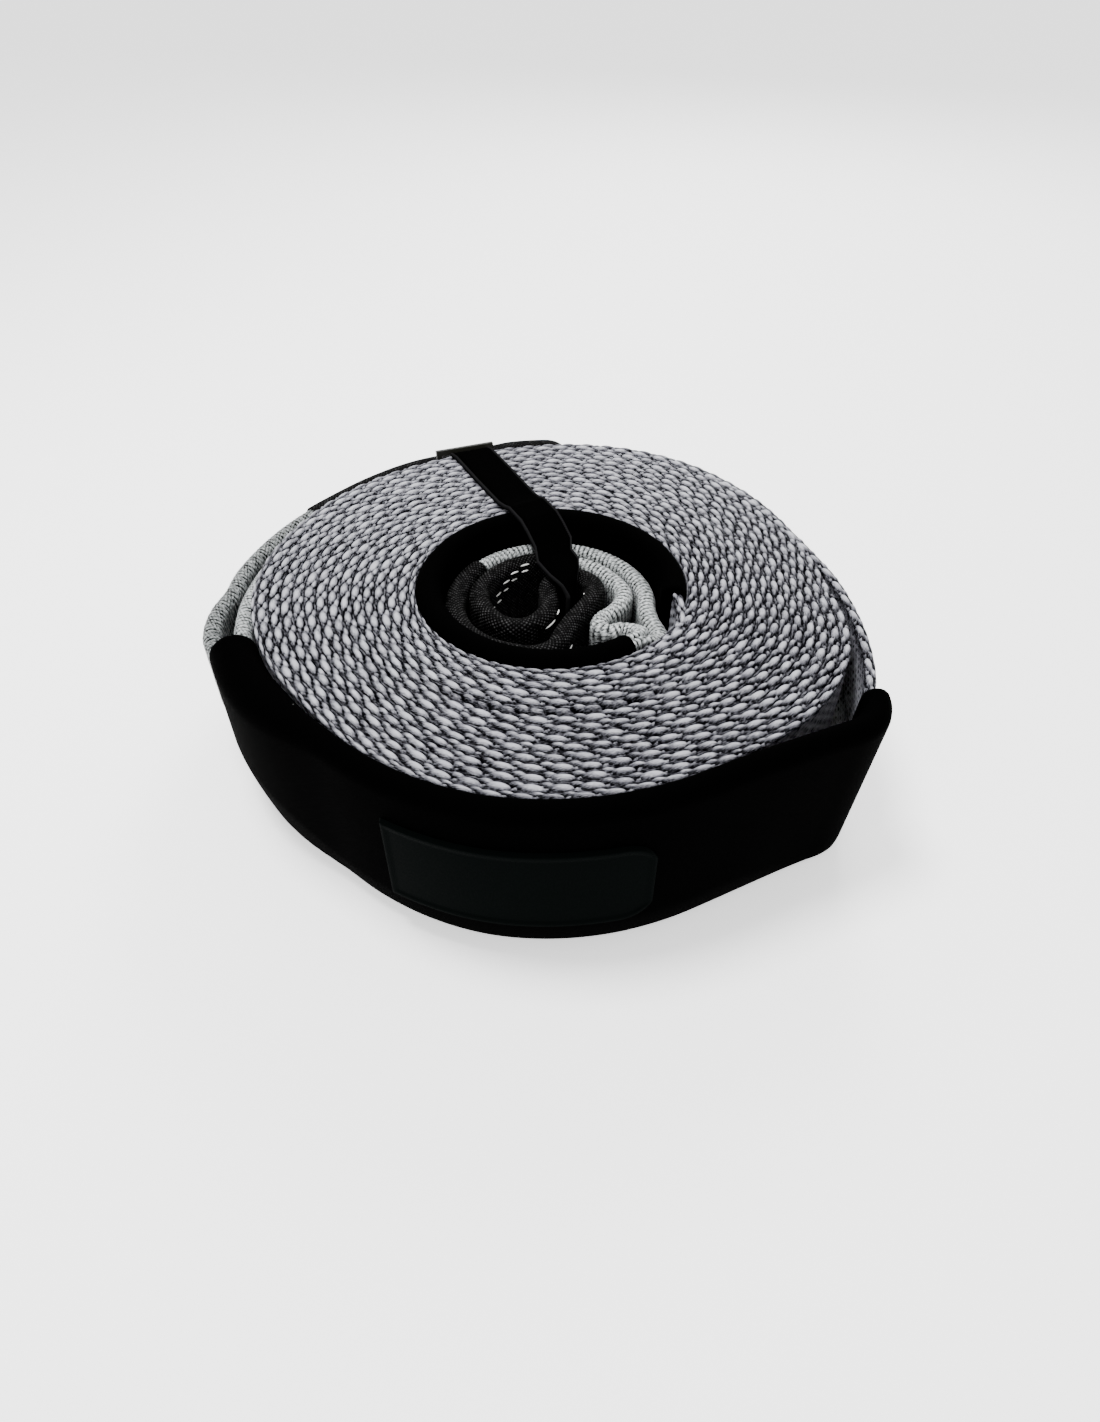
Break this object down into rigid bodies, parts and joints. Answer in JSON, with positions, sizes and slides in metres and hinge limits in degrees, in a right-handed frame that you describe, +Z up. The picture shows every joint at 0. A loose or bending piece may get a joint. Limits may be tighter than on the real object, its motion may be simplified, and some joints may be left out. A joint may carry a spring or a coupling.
{
  "type": "tow strap",
  "caption": "Wide woven tow strap wound into a flat roll, with a padded sleeve and a sewn loop eye at each end, held by a hook-and-loop tie.",
  "frame": {"origin": "middle of the footprint's bounding box, on the surface that the roll lies on", "axes": "+Z up along the roll's axis; -Y is the front, with the outer sleeve and its label patch; +X to the right of it"},
  "size_m": [0.2808, 0.295, 0.0801],
  "materials": {
    "webbing": "coarse plain-woven polyester yarn, light grey with dark pits",
    "sleeve": "matte black coated fabric",
    "eye_wrap": "matte black wear fabric with a fine diagonal weave and white stitching",
    "tie": "black hook-and-loop pile with a woven edge",
    "ring": "satin dark olive moulded plastic",
    "label": "soft matte black rubber, bare"
  },
  "bodies": {
    "root": {"webbing": "webbing", "inner_sleeve": "sleeve", "outer_sleeve": "sleeve", "inner_eye_wrap": "eye_wrap", "outer_eye_wrap": "eye_wrap", "tie_strap": "tie", "tie_ring": "ring", "label_patch": "label"}
  },
  "joints": []
}
